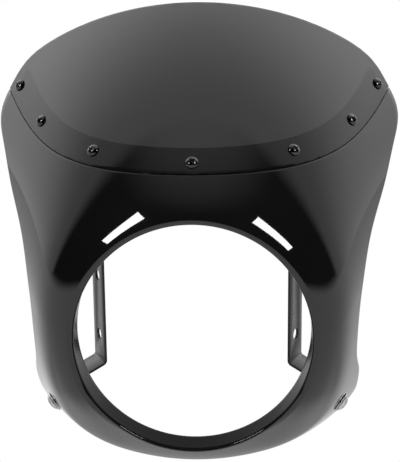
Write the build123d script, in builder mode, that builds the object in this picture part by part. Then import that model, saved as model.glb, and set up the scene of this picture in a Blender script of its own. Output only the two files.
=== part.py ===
"""Headlight cowl for a motorbike: moulded shell, smoked windscreen, fork brackets and their fasteners.

Millimetres. The origin is the centre of the lamp opening on the front plane of the rim.
X points to the viewer's right, Y points back along the lamp axis and Z points up.
"""
import os
from math import atan2, cos, exp, hypot, pi, sin, sqrt

from build123d import *

os.makedirs("parts", exist_ok=True)

# Lamp opening and rim
lamp_bore_r = 89.0
rim_width = 4.4
rim_thickness = 4.0
rim_round = 3.6
lip_depth = 28.5
wall = 3.0

# Outer skin: flare behind the rim and slopes of its sides, top and chin
brow_flare = 17.0
brow_run = 9.5
side_slope = 0.3295
side_curve = 0.00053
screen_slope = 1.35
screen_fall = 168.0
nose_flare = 1.6
nose_run = 5.0
chin_flare = 4.3
chin_run = 6.0
chin_slope = 0.34
centre_slope = 0.457
jaw_square = 1.05
jaw_run = 38.0
skin_depth = 192.0

# Rear edge of shell and windscreen in side view, depth then height
rear_edge = [
    (146.4, 249.3), (153.8, 237), (170, 205), (175.8, 186), (172.5, 164), (167.6, 143.2), (146.3, 120),
    (113, 90), (75.6, 58.7), (54.4, 28.4), (46.3, -6), (52.8, -28.6), (73.3, -48.4), (95.4, -71.3),
    (103, -82), (92.2, -94), (55.8, -105.7), (42.2, -124),
]

# Seam between shell and windscreen in side view, depth then height above the rim's crown
seam_rise = [(-20, 27.6), (20, 28.1), (93, 36.1), (166, 63.6), (215, 90.6)]
seam_gap = 0.6
flange_rise = 18.0
flange_drop = 7.0
flange_gap = 0.2
flange_setback = 3.0

# Windscreen screws, named by their depth in side view
screw_rise = 9.5
screw_front_rise = 7.7
screw_depths = [54.6, 112.5, 161.9]
screw_d = 5.0
screw_head_d = 9.6
screw_head_h = 3.2
screw_length = 14.0
screw_clearance = 0.5
recess_span = 5.2
recess_width = 1.1
recess_depth = 1.7
screw_washer_d = 10.0
screw_washer_h = 1.0
screw_nut_flats = 8.0
screw_nut_h = 4.0
seat_relief = 0.25
head_relief = 0.08
thread_clearance = 0.2

# Brackets and the bolts at the lower corners
bracket_width = 24.0
bracket_sheet = 2.0
bracket_bend_r = 5.0
bracket_offset = 32.5
bracket_top = 52.0
bracket_corner = -47.0
bracket_end_r = 6.0
fork_hole_d = 9.0
fork_hole_pitch = 50.0
fork_hole_mid = -1.0
bolt_depth = 71.0
bolt_height = -78.0
bolt_d = 6.0
bolt_clearance = 0.5
drill_length = 30.0
bolt_head_d = 13.0
bolt_head_h = 3.3
bolt_socket_flats = 4.0
bolt_socket_depth = 2.0
bolt_washer_d = 16.5
bolt_washer_h = 1.2
washer_relief = 0.1
inner_washer_d = 12.0
bolt_nut_flats = 10.0
bolt_nut_h = 5.0
bolt_tail = 2.0
boss_d = 20.0
boss_depth = 7.0
foot_up = 12.0
foot_down = 10.0

# Derived sizes
crown_r = lamp_bore_r + rim_width
lip_r = lamp_bore_r + wall
seam_line = [(depth, crown_r + rise) for depth, rise in seam_rise]
half_span = 240.0
section_count = 40
outer_depths = [0, 2.5, 6, 11, 18, 30, 50, 80, 120, 160, skin_depth]
inner_depths = [rim_thickness + run for run in (0, 2.5, 6, 11, 18, 30, 50, 80, 120, 160, skin_depth)]


def skin_size(depth):
    """Half width, top, bottom, centre height and lower power of the outer skin at one depth."""
    half_width = crown_r + brow_flare * (1 - exp(-depth / brow_run)) + side_slope * depth
    half_width += side_curve * depth * depth
    top = crown_r + screen_slope * screen_fall * (1 - exp(-depth / screen_fall))
    top += nose_flare * (1 - exp(-depth / nose_run))
    bottom = -crown_r - chin_flare * (1 - exp(-depth / chin_run)) - chin_slope * depth
    power = 2 + jaw_square * (1 - exp(-depth / jaw_run))
    return half_width, top, bottom, centre_slope * depth, power


def skin_point(angle, depth):
    """Point of the outer skin at an angle around the section at one depth."""
    half_width, top, bottom, centre, power = skin_size(depth)
    height = top - centre
    if sin(angle) < 0:
        height = centre - bottom
    else:
        power = 2
    reach = abs(cos(angle) / half_width) ** power + abs(sin(angle) / height) ** power
    radius = reach ** (-1 / power)
    return radius * cos(angle), centre + radius * sin(angle)


def inset_point(angle, depth, inset):
    """Point of the skin moved inwards so that the wall is inset thick across the slope."""
    step = 0.01
    x, z = skin_point(angle, depth)
    xa, za = skin_point(angle + step, depth)
    xb, zb = skin_point(angle - step, depth)
    size = hypot(xa - xb, za - zb)
    nx, nz = (za - zb) / size, (xb - xa) / size
    xf, zf = skin_point(angle, depth + step)
    slope = ((xf - x) * nx + (zf - z) * nz) / step
    move = inset * sqrt(1 + slope * slope)
    return x - nx * move, z - nz * move


def section_edge(depth, inset):
    """Closed smooth curve of one section, starting at the chin."""
    angles = [-pi / 2 + 2 * pi * i / section_count for i in range(section_count)]
    points = [Vector(*inset_point(angle, depth, inset), 0) for angle in angles]
    return Edge.make_spline(points, periodic=True, parameters=list(range(section_count + 1)))


def skin_body(depths, inset):
    """Solid filled out to the skin, moved inwards by inset."""
    with BuildPart() as body:
        for depth in depths:
            with BuildSketch(Plane.XZ.offset(-depth)):
                with BuildLine():
                    add(section_edge(depth, inset))
                make_face()
        loft()
    return body.part


def seam_zone(low, high):
    """Slab across the cowl between two copies of the seam line; None leaves that side open."""
    with BuildPart() as zone:
        with BuildSketch(Plane.YZ.offset(-half_span)):
            with BuildLine():
                first, last = seam_line[0], seam_line[-1]
                floor, ceiling = -half_span, 2 * half_span
                if high is not None:
                    Spline(*[(y, z + high) for y, z in seam_line])
                    top = [(last[0], last[1] + high), (first[0], first[1] + high)]
                else:
                    top = [(last[0], ceiling), (first[0], ceiling)]
                    Line(top[1], top[0])
                if low is not None:
                    Spline(*[(y, z + low) for y, z in seam_line])
                    foot = [(last[0], last[1] + low), (first[0], first[1] + low)]
                else:
                    foot = [(last[0], floor), (first[0], floor)]
                    Line(foot[1], foot[0])
                Line(top[0], foot[0])
                Line(foot[1], top[1])
            make_face()
        extrude(amount=2 * half_span)
    return zone.part


def skin_height_x(depth, height):
    """Half width of the outer skin at one depth and height."""
    half_width, top, bottom, centre, power = skin_size(depth)
    if height >= centre:
        return half_width * sqrt(1 - ((height - centre) / (top - centre)) ** 2)
    return half_width * (1 - ((centre - height) / (centre - bottom)) ** power) ** (1 / power)


def skin_normal(depth, height):
    """Outward normal of the outer skin on the right-hand side."""
    step = 0.05
    x = skin_height_x(depth, height)
    dy = (skin_height_x(depth + step, height) - x) / step
    dz = (skin_height_x(depth, height + step) - x) / step
    return Vector(1, -dy, -dz).normalized()


def seam_height(depth):
    """Height of the seam at one depth, read from the seam line."""
    with BuildLine(Plane.YZ, mode=Mode.PRIVATE) as line:
        Spline(*seam_line)
    cut = line.line.edges()[0].find_intersection_points(Axis((0, depth, 0), (0, 0, 1)))
    return cut[0].Z


def front_screw_depth():
    """Depth at which the middle line of the skin lies screw_front_rise above the seam."""
    near, far = 0.0, skin_depth
    while far - near > 0.001:
        middle = (near + far) / 2
        if skin_size(middle)[1] < seam_height(middle) + screw_front_rise:
            near = middle
        else:
            far = middle
    return near


def dome_radius(half_width, height):
    """Radius of the ball that a domed head of this half width and height is cut from."""
    return (half_width * half_width + height * height) / (2 * height)


# Screw frames on the outer skin: one in the middle, three on each side
front_depth = front_screw_depth()
front_point = Vector(0, front_depth, skin_size(front_depth)[1])
front_slope = skin_size(front_depth + 0.05)[1] - front_point.Z
screw_frames = [Plane(origin=front_point, z_dir=Vector(0, -front_slope / 0.05, 1).normalized())]
for screw_depth in screw_depths:
    screw_height = seam_height(screw_depth) + screw_rise
    screw_x = skin_height_x(screw_depth, screw_height)
    right_normal = skin_normal(screw_depth, screw_height)
    left_normal = Vector(-right_normal.X, right_normal.Y, right_normal.Z)
    screw_frames.append(Plane(origin=(screw_x, screw_depth, screw_height), z_dir=right_normal))
    screw_frames.append(Plane(origin=(-screw_x, screw_depth, screw_height), z_dir=left_normal))

# Bracket directions: the bar runs along across, its sheet faces along outward
bolt_point = Vector(skin_height_x(bolt_depth, bolt_height), bolt_depth, bolt_height)
bolt_axis = skin_normal(bolt_depth, bolt_height)
bolt_splay = atan2(-bolt_axis.Y, bolt_axis.X)
bolt_tilt = atan2(-bolt_axis.Z, hypot(bolt_axis.X, bolt_axis.Y))
across = Vector(sin(bolt_splay), cos(bolt_splay), 0)
outward = Vector(cos(bolt_splay), -sin(bolt_splay), 0)
right_bolt = Plane(origin=bolt_point, x_dir=across, z_dir=bolt_axis)
left_bolt = Plane(
    origin=(-bolt_point.X, bolt_point.Y, bolt_point.Z),
    x_dir=Vector(-across.X, across.Y, 0),
    z_dir=Vector(-bolt_axis.X, bolt_axis.Y, bolt_axis.Z),
)
bolt_frames = [right_bolt, left_bolt]

# Filled bodies that the walls are cut from
outer_body = skin_body(outer_depths, 0)
wall_body = skin_body(inner_depths, wall)
flange_outer_body = skin_body(inner_depths, wall + flange_gap)
flange_inner_body = skin_body(inner_depths, 2 * wall + flange_gap)

with BuildPart() as side_outline:
    with BuildSketch(Plane.YZ.offset(-half_span)):
        with BuildLine():
            Spline(*rear_edge)
            Polyline(rear_edge[-1], (-20, rear_edge[-1][1]), (-20, rear_edge[0][1]), rear_edge[0])
        make_face()
    extrude(amount=2 * half_span)

with BuildPart() as flange:
    add(flange_outer_body)
    add(flange_inner_body, mode=Mode.SUBTRACT)
    add(seam_zone(-flange_drop, flange_rise), mode=Mode.INTERSECT)
    add(side_outline.part.moved(Location((0, -flange_setback, 0))), mode=Mode.INTERSECT)

with BuildPart() as joggle:
    add(outer_body)
    add(flange_inner_body, mode=Mode.SUBTRACT)
    add(seam_zone(-flange_drop, 0), mode=Mode.INTERSECT)
    add(side_outline.part, mode=Mode.INTERSECT)

with BuildPart() as cowl_shell:
    add(outer_body)
    add(wall_body, mode=Mode.SUBTRACT)
    add(seam_zone(None, 0), mode=Mode.INTERSECT)
    add(side_outline.part, mode=Mode.INTERSECT)
    add(joggle.part)
    add(flange.part)
    with BuildSketch(Plane.XZ):
        Circle(lip_r)
    extrude(amount=-lip_depth)
    for frame in bolt_frames:
        with BuildSketch(frame.offset(-boss_depth)):
            Circle(boss_d / 2)
        extrude(amount=boss_depth - wall / 2)
    with BuildSketch(Plane.XZ):
        Circle(lamp_bore_r)
    extrude(amount=-skin_depth, mode=Mode.SUBTRACT)
    with Locations(*screw_frames):
        Cylinder((screw_d + screw_clearance) / 2, drill_length, mode=Mode.SUBTRACT)
    with Locations(*bolt_frames):
        Cylinder((bolt_d + bolt_clearance) / 2, drill_length, mode=Mode.SUBTRACT)
    front_edges = cowl_shell.edges().group_by(Axis.Y)[0].sort_by(SortBy.LENGTH)
    fillet(front_edges[0], rim_round)
cowl_shell.part.label = "cowl_shell"
export_step(cowl_shell.part, "parts/cowl_shell.step")

with BuildPart() as windscreen:
    add(outer_body)
    add(wall_body, mode=Mode.SUBTRACT)
    add(seam_zone(seam_gap, None), mode=Mode.INTERSECT)
    add(side_outline.part, mode=Mode.INTERSECT)
    with Locations(*screw_frames):
        Cylinder((screw_d + screw_clearance) / 2, drill_length, mode=Mode.SUBTRACT)
windscreen.part.label = "windscreen"
export_step(windscreen.part, "parts/windscreen.step")

# Windscreen screws: domed head with a cross recess
with BuildPart() as screw:
    with BuildSketch(Plane.XZ):
        with BuildLine():
            head_r = screw_head_d / 2
            head_z = head_relief + screw_head_h * 0.3
            crown_z = head_relief + screw_head_h
            shank_r = screw_d / 2
            Polyline((0, crown_z), (0, -screw_length), (shank_r, -screw_length), (shank_r, head_relief))
            Polyline((shank_r, head_relief), (head_r, head_relief), (head_r, head_z))
            RadiusArc((head_r, head_z), (0, crown_z), -dome_radius(head_r, crown_z - head_z))
        make_face()
    revolve(axis=Axis.Z)
    with BuildSketch(Plane.XY.offset(crown_z)):
        Rectangle(recess_span, recess_width)
        Rectangle(recess_width, recess_span)
    extrude(amount=-recess_depth, mode=Mode.SUBTRACT)

with BuildPart() as windscreen_screws:
    with Locations(*screw_frames):
        add(screw.part)
windscreen_screws.part.label = "windscreen_screws"
export_step(windscreen_screws.part, "parts/windscreen_screws.step")

screw_seat = 2 * wall + flange_gap + seat_relief
with BuildPart() as screw_washer:
    with BuildSketch(Plane.XY.offset(-screw_seat)):
        Circle(screw_washer_d / 2)
        Circle((screw_d + screw_clearance) / 2, mode=Mode.SUBTRACT)
    extrude(amount=-screw_washer_h)

with BuildPart() as windscreen_washers:
    with Locations(*screw_frames):
        add(screw_washer.part)
windscreen_washers.part.label = "windscreen_washers"
export_step(windscreen_washers.part, "parts/windscreen_washers.step")

with BuildPart() as screw_nut:
    with BuildSketch(Plane.XY.offset(-screw_seat - screw_washer_h)):
        RegularPolygon(screw_nut_flats / 2, 6, major_radius=False)
        Circle((screw_d + thread_clearance) / 2, mode=Mode.SUBTRACT)
    extrude(amount=-screw_nut_h)

with BuildPart() as windscreen_nuts:
    with Locations(*screw_frames):
        add(screw_nut.part)
windscreen_nuts.part.label = "windscreen_nuts"
export_step(windscreen_nuts.part, "parts/windscreen_nuts.step")

# Right bracket: foot on the boss, arm inwards and upright bar with two fork holes
bar_plane = Plane(origin=across * bolt_point.dot(across), x_dir=outward, z_dir=across * -1)
bar_face = bracket_offset + bracket_sheet / 2
seat_h = bolt_point.dot(outward) - boss_depth * cos(bolt_tilt)
seat_z = bolt_point.Z + boss_depth * sin(bolt_tilt)
foot_h, foot_z = sin(bolt_tilt), cos(bolt_tilt)
with BuildPart() as right_bracket:
    with BuildSketch(bar_plane):
        with BuildLine():
            FilletPolyline(
                (bar_face, bracket_top),
                (bar_face, bracket_corner),
                (seat_h + foot_up * foot_h, seat_z + foot_up * foot_z),
                (seat_h - foot_down * foot_h, seat_z - foot_down * foot_z),
                radius=bracket_bend_r,
            )
            offset(amount=bracket_sheet, side=Side.RIGHT)
        make_face()
    extrude(amount=bracket_width / 2, both=True)
    top_edges = right_bracket.edges().filter_by(Axis((0, 0, 0), outward)).sort_by(Axis.Z)[-2:]
    fillet(top_edges, bracket_end_r)
    foot_edges = right_bracket.edges().filter_by(Axis((0, 0, 0), bolt_axis)).sort_by(Axis.Z)[:2]
    fillet(foot_edges, bracket_end_r)
    for hole_z in (fork_hole_mid - fork_hole_pitch / 2, fork_hole_mid + fork_hole_pitch / 2):
        hole_origin = bar_plane.origin + outward * bracket_offset + Vector(0, 0, hole_z)
        with Locations(Plane(origin=hole_origin, z_dir=outward)):
            Cylinder(fork_hole_d / 2, 3 * bracket_sheet, mode=Mode.SUBTRACT)
    with Locations(right_bolt.offset(-boss_depth)):
        Cylinder((bolt_d + bolt_clearance) / 2, 3 * bracket_sheet, mode=Mode.SUBTRACT)
right_bracket.part.label = "right_bracket"
export_step(right_bracket.part, "parts/right_bracket.step")

with BuildPart() as left_bracket:
    mirror(right_bracket.part, about=Plane.YZ)
left_bracket.part.label = "left_bracket"
export_step(left_bracket.part, "parts/left_bracket.step")

# Bracket bolts: domed head with a hexagon socket
bolt_seat = boss_depth + bracket_sheet
bolt_head_z = washer_relief + bolt_washer_h
bolt_nut_z = -bolt_seat - washer_relief - bolt_washer_h
with BuildPart() as bolt:
    with BuildSketch(Plane.XZ):
        with BuildLine():
            bolt_r = bolt_d / 2
            dome_r = bolt_head_d / 2
            dome_z = bolt_head_z + bolt_head_h
            tail_z = bolt_nut_z - bolt_nut_h - bolt_tail
            rim_z = bolt_head_z + bolt_head_h * 0.25
            Polyline((0, dome_z), (0, tail_z), (bolt_r, tail_z), (bolt_r, bolt_head_z))
            Polyline((bolt_r, bolt_head_z), (dome_r, bolt_head_z), (dome_r, rim_z))
            RadiusArc((dome_r, rim_z), (0, dome_z), -dome_radius(dome_r, dome_z - rim_z))
        make_face()
    revolve(axis=Axis.Z)
    with BuildSketch(Plane.XY.offset(dome_z)):
        RegularPolygon(bolt_socket_flats / 2, 6, major_radius=False)
    extrude(amount=-bolt_socket_depth, mode=Mode.SUBTRACT)

with BuildPart() as bracket_bolts:
    with Locations(*bolt_frames):
        add(bolt.part)
bracket_bolts.part.label = "bracket_bolts"
export_step(bracket_bolts.part, "parts/bracket_bolts.step")

with BuildPart() as bolt_washer:
    with BuildSketch(Plane.XY.offset(washer_relief)):
        Circle(bolt_washer_d / 2)
        Circle((bolt_d + bolt_clearance) / 2, mode=Mode.SUBTRACT)
    extrude(amount=bolt_washer_h)

with BuildPart() as bracket_outer_washers:
    with Locations(*bolt_frames):
        add(bolt_washer.part)
bracket_outer_washers.part.label = "bracket_outer_washers"
export_step(bracket_outer_washers.part, "parts/bracket_outer_washers.step")

with BuildPart() as inner_washer:
    with BuildSketch(Plane.XY.offset(bolt_nut_z)):
        Circle(inner_washer_d / 2)
        Circle((bolt_d + bolt_clearance) / 2, mode=Mode.SUBTRACT)
    extrude(amount=bolt_washer_h)

with BuildPart() as bracket_inner_washers:
    with Locations(*bolt_frames):
        add(inner_washer.part)
bracket_inner_washers.part.label = "bracket_inner_washers"
export_step(bracket_inner_washers.part, "parts/bracket_inner_washers.step")

with BuildPart() as bolt_nut:
    with BuildSketch(Plane.XY.offset(bolt_nut_z)):
        RegularPolygon(bolt_nut_flats / 2, 6, major_radius=False)
        Circle((bolt_d + thread_clearance) / 2, mode=Mode.SUBTRACT)
    extrude(amount=-bolt_nut_h)

with BuildPart() as bracket_nuts:
    with Locations(*bolt_frames):
        add(bolt_nut.part)
bracket_nuts.part.label = "bracket_nuts"
export_step(bracket_nuts.part, "parts/bracket_nuts.step")
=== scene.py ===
"""Headlight cowl: finished pieces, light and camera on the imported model, laid out as an add-on."""
from math import atan2, cos, exp, hypot, pi, radians, sin, sqrt, tan

import bmesh
import bpy
from mathutils import Matrix, Vector


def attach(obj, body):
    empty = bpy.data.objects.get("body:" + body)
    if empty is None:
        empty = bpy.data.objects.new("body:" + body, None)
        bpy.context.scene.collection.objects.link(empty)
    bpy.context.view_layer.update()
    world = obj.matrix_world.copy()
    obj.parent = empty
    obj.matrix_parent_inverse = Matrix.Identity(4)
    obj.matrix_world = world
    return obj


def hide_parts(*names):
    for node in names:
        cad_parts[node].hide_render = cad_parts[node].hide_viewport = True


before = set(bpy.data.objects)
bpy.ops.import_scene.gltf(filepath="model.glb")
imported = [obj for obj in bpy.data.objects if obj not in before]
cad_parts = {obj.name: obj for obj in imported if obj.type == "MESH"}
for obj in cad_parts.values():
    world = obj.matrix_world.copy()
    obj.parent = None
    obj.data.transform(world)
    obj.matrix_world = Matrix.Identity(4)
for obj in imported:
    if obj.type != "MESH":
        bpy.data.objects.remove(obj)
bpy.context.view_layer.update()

bl_info = {
    "name": "Headlight Cowl",
    "version": (1, 0, 0),
    "blender": (4, 5, 0),
    "location": "View3D > Sidebar > Cowl",
    "description": "Builds the shell, smoked windscreen, brackets and fasteners of a headlight cowl",
    "category": "Add Mesh",
}

# Rear edge of shell and windscreen in side view, depth then height, in metres
REAR_EDGE = [
    (0.1464, 0.2493), (0.1538, 0.237), (0.170, 0.205), (0.1758, 0.186), (0.1725, 0.164),
    (0.1676, 0.1432), (0.1463, 0.120), (0.113, 0.090), (0.0756, 0.0587), (0.0544, 0.0284),
    (0.0463, -0.006), (0.0528, -0.0286), (0.0733, -0.0484), (0.0954, -0.0713), (0.103, -0.082),
    (0.0922, -0.094), (0.0540, -0.1057), (0.0398, -0.124),
]

# Seam between shell and windscreen in side view, depth then height, in metres
SEAM_LINE = [(-0.020, 0.121), (0.020, 0.1215), (0.093, 0.1295), (0.166, 0.157), (0.215, 0.184)]

# Fine points between two knots: of the rear edge, the seam, and the seam that the screws follow
EDGE_STEPS = 30
SEAM_STEPS = 60
SCREW_STEPS = 40

# Share of the chin's curve that the rolled rim takes
CHIN_START = 0.05

# Downward share of a column's direction where the chin starts to sweep back, and where it is full
CHIN_FROM = 0.45
CHIN_FULL = 0.85

# Points along each column of the shell: lip, rolled rim and skin
LIP_ROWS = 6
ROLL_ROWS = 16
SKIN_ROWS = 56

# Powers that crowd the skin's points towards the front and spread the chin's points along its curve
SKIN_CROWD = 1.7
CHIN_CROWD = 0.7

# Columns of the shell along its rear edge and its seam, and columns and rows of the windscreen
REAR_COLUMNS = 150
SEAM_COLUMNS = 110
SCREEN_COLUMNS = 120
SCREEN_ROWS = 60

# Greatest depths of the nose and of the rear edge, and a height below which the rear edge nears the chin
NOSE_LIMIT = 0.060
REAR_LIMIT = 0.190
CHIN_HEIGHT = -0.08

# Steps of the flange from the seam to its edge, and the least width that it has
FLANGE_ROWS = (0, 0.15, 0.4, 0.7, 1)
FLANGE_LEAST = 0.002

# Unpolished lip: how far it reaches past the bore, and the width over which it turns into gloss
LIP_REACH = 0.0012
LIP_FADE = 0.0008

# Share of the wall past which a point of the shell lies inside
INNER_SHARE = 0.6

# Roughness of the unpolished inside, and the shine of outside and inside
INSIDE_ROUGHNESS = 0.16
OUTSIDE_SHINE = 0.5
INSIDE_SHINE = 0.02

# Play of a hole around its shank, and of a nut around its thread
HOLE_PLAY = 0.00025
THREAD_PLAY = 0.0001

# How the cross recesses are turned: the middle screw, then each side from front to back
MIDDLE_TURN = 0.6
SIDE_TURNS = (0.3, 1.0, 0.1)

# Facets around turned pieces and around small holes
FACETS = 64
HOLE_FACETS = 48

# Angles in degrees past which an edge is shaded sharp, and past which it is rounded
SHARP_ANGLE = 35
ROUND_ANGLE = 40

# Band of a noise's values that colours and roughness are spread over
NOISE_BAND = (0.3, 0.7)

# Direction that the white sweep leans in, and the reaches along it of its front edge and its rise
SWEEP_LEAN = (0, 0.93, 0.37)
SWEEP_EDGE = (0.10, 0.22)
SWEEP_RISE = (0.22, 0.95)

# Heights over which the sweep's sides grow bright, and their brightness at the foot
SIDES_LIFT = (0.05, 0.5)
SIDES_FOOT = 0.4

# Heights over which the floor starts and the glow overhead grows
FLOOR_START = (0.10, -0.02)
GLOW_START = (0.76, 1.02)

# Headings over which the sweep gives way to its gap and the far floor darkens
GAP_START = (0.83, 0.91)
SHADE_START = (0.88, 0.96)

# Floor: its half size, the depths over which it darkens, and the slopes and headings of mirrored rays
FLOOR_REACH = 40
FLOOR_NEAR = (0.2, 0.9)
FLOOR_SLOPES = (-0.58, -0.36)
FLOOR_BACK = (0.92, 0.98)

# Brightness of the floor for steep and for flat mirrored rays, and its own pale surface
FLOOR_STEEP = 0.62
FLOOR_FLAT = 0.97
FLOOR_WHITE = 0.9
FLOOR_ROUGHNESS = 0.9


def length(name, description, default):
    """A size in metres that a user can change."""
    return bpy.props.FloatProperty(
        name=name, description=description, default=default, unit="LENGTH", precision=5)


def ratio(name, description, default):
    """A plain number that a user can change."""
    return bpy.props.FloatProperty(name=name, description=description, default=default, precision=4)


def turning(name, description, degrees):
    """An angle in degrees that a user can change."""
    return bpy.props.FloatProperty(
        name=name, description=description, default=radians(degrees), subtype="ANGLE")


def colour(name, description, default):
    """A colour that a user can change."""
    return bpy.props.FloatVectorProperty(
        name=name, description=description, default=default, subtype="COLOR", size=3, min=0, max=1)


class CowlSkinSizes(bpy.types.PropertyGroup):
    """Sizes of the outer skin that shell and windscreen share."""

    lamp_bore: length("Lamp bore", "Radius of the round lamp opening", 0.089)
    rim_width: length("Rim width", "Width of the rim around the opening", 0.0044)
    rim_roll: length("Rim roll", "Radius that the rim is rolled over with", 0.0036)
    lip_depth: length("Lip depth", "Depth of the lip inside the opening", 0.0285)
    wall: length("Wall", "Thickness of shell and windscreen", 0.003)
    brow_flare: length("Brow flare", "Sideways flare just behind the rim", 0.017)
    brow_run: length("Brow run", "Depth over which the flare fades", 0.0095)
    side_slope: ratio("Side slope", "Outward slope of the sides", 0.3295)
    side_curve: ratio("Side curve", "Outward curve of the sides, per metre", 0.53)
    screen_slope: ratio("Screen slope", "Slope of the top at the rim", 1.35)
    screen_fall: length("Screen fall", "Depth over which the top flattens", 0.168)
    nose_flare: length("Nose flare", "Upward flare just behind the rim", 0.0016)
    nose_run: length("Nose run", "Depth over which the nose flare fades", 0.005)
    chin_flare: length("Chin flare", "Downward flare just behind the rim", 0.0043)
    chin_run: length("Chin run", "Depth over which the chin flare fades", 0.006)
    chin_slope: ratio("Chin slope", "Downward slope of the chin", 0.34)
    centre_slope: ratio("Centre slope", "Rise of the widest line with depth", 0.457)
    jaw_square: ratio("Jaw square", "How square the lower corners become", 1.05)
    jaw_run: length("Jaw run", "Depth over which the lower corners become square", 0.038)
    chin_roll: length("Chin roll", "Radius that the rim is rolled over with at the chin", 0.0025)
    chin_setback: length("Chin setback", "How far the rim is swept back at the chin", 0.0058)
    chin_join: length("Chin join", "Depth at which the swept-back chin joins the skin", 0.040)
    chin_bulge: length("Chin bulge", "How long the chin keeps its first slope", 0.0274)


class WindscreenFit(bpy.types.PropertyGroup):
    """Sizes of the joint between windscreen and shell."""

    seam_gap: length("Seam gap", "Gap between shell and windscreen", 0.0006)
    flange_rise: length("Flange rise", "Height of the shell's flange behind the windscreen", 0.018)
    flange_gap: length("Flange gap", "Gap between windscreen and flange", 0.0002)
    flange_setback: length("Flange setback", "Distance of the flange from the rear edge", 0.003)
    edge_round: length("Edge round", "Rounding of the moulded edges", 0.0007)
    screw_rise: length("Screw rise", "Height of the side screws above the seam", 0.0095)
    screw_front: length("Front screw", "Depth of the middle screw", 0.0279)
    screw_depths: bpy.props.FloatVectorProperty(
        name="Side screws", description="Depths of the screws on each side", size=3, unit="LENGTH",
        default=(0.0546, 0.1125, 0.1619))
    screw_radius: length("Screw radius", "Radius of the screw shank", 0.0025)
    screw_head: length("Screw head", "Radius of the screw head", 0.0048)
    screw_dome: length("Screw dome", "Height of the screw head", 0.0032)
    screw_length: length("Screw length", "Length of the screw under its head", 0.014)
    recess_span: length("Recess span", "Span of the cross recess", 0.0052)
    recess_width: length("Recess width", "Width of the cross recess", 0.0011)
    recess_depth: length("Recess depth", "Depth of the cross recess", 0.0017)
    head_relief: length("Head relief", "Gap under the screw head", 0.00008)
    washer_radius: length("Washer radius", "Radius of the inner washers", 0.005)
    washer_height: length("Washer height", "Thickness of the inner washers", 0.001)
    washer_relief: length("Washer relief", "Gap between flange and washer", 0.00025)
    nut_flats: length("Nut flats", "Width of the nuts across flats", 0.008)
    nut_height: length("Nut height", "Height of the nuts", 0.004)


class BracketFit(bpy.types.PropertyGroup):
    """Sizes of the fork brackets and their bolts."""

    width: length("Width", "Width of the bracket strip", 0.024)
    sheet: length("Sheet", "Thickness of the bracket sheet", 0.002)
    bend: length("Bend", "Inner radius of the bends", 0.0025)
    offset: length("Offset", "Distance of the bar from the middle plane, along its face", 0.0325)
    top: length("Top", "Height of the bar's top end", 0.052)
    corner: length("Corner", "Height of the bend at the bar's foot", -0.047)
    end_round: length("End round", "Rounding of the strip's ends", 0.006)
    hole_radius: length("Hole radius", "Radius of the fork holes", 0.0045)
    hole_pitch: length("Hole pitch", "Distance between the fork holes", 0.050)
    hole_middle: length("Hole middle", "Height halfway between the fork holes", -0.001)
    bolt_depth: length("Bolt depth", "Depth of the bolt on the skin", 0.071)
    bolt_height: length("Bolt height", "Height of the bolt on the skin", -0.078)
    bolt_radius: length("Bolt radius", "Radius of the bolt shank", 0.003)
    bolt_head: length("Bolt head", "Radius of the bolt head", 0.0065)
    bolt_dome: length("Bolt dome", "Height of the bolt head", 0.0033)
    socket_flats: length("Socket flats", "Width of the hexagon socket", 0.004)
    socket_depth: length("Socket depth", "Depth of the hexagon socket", 0.002)
    washer_radius: length("Washer radius", "Radius of the outer washers", 0.00825)
    inner_washer: length("Inner washer", "Radius of the inner washers", 0.006)
    washer_height: length("Washer height", "Thickness of the washers", 0.0012)
    washer_relief: length("Washer relief", "Gap under the washers", 0.0001)
    nut_flats: length("Nut flats", "Width of the nuts across flats", 0.010)
    nut_height: length("Nut height", "Height of the nuts", 0.005)
    bolt_tail: length("Bolt tail", "Length of bolt past its nut", 0.002)
    boss_radius: length("Boss radius", "Radius of the boss inside the shell", 0.010)
    boss_depth: length("Boss depth", "Depth of the boss under the outer skin", 0.007)
    foot_up: length("Foot up", "Length of the foot above the bolt", 0.012)
    foot_down: length("Foot down", "Length of the foot below the bolt", 0.010)


class CowlFinish(bpy.types.PropertyGroup):
    """Colours and finishes of the cowl."""

    shell_black: colour("Shell", "Gloss black of the moulded shell", (0.0045, 0.0045, 0.0049))
    smoke: colour("Smoke", "Dark tint of the windscreen", (0.0045, 0.0045, 0.0049))
    smoke_cover: bpy.props.FloatProperty(
        name="Smoke cover", description="How much of the light each face of the windscreen stops",
        default=0.857, min=0, max=1, subtype="FACTOR")
    bracket_black: colour("Bracket", "Satin black paint of the brackets", (0.006, 0.006, 0.0065))
    screw_black: colour("Screws", "Black plating of the windscreen screws", (0.042, 0.042, 0.045))
    bolt_grey: colour("Bolts", "Grey plating of the bracket bolts", (0.34, 0.34, 0.345))
    nylon_black: colour("Nylon", "Black of the hidden nylon washers and nuts", (0.014, 0.014, 0.014))


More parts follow.
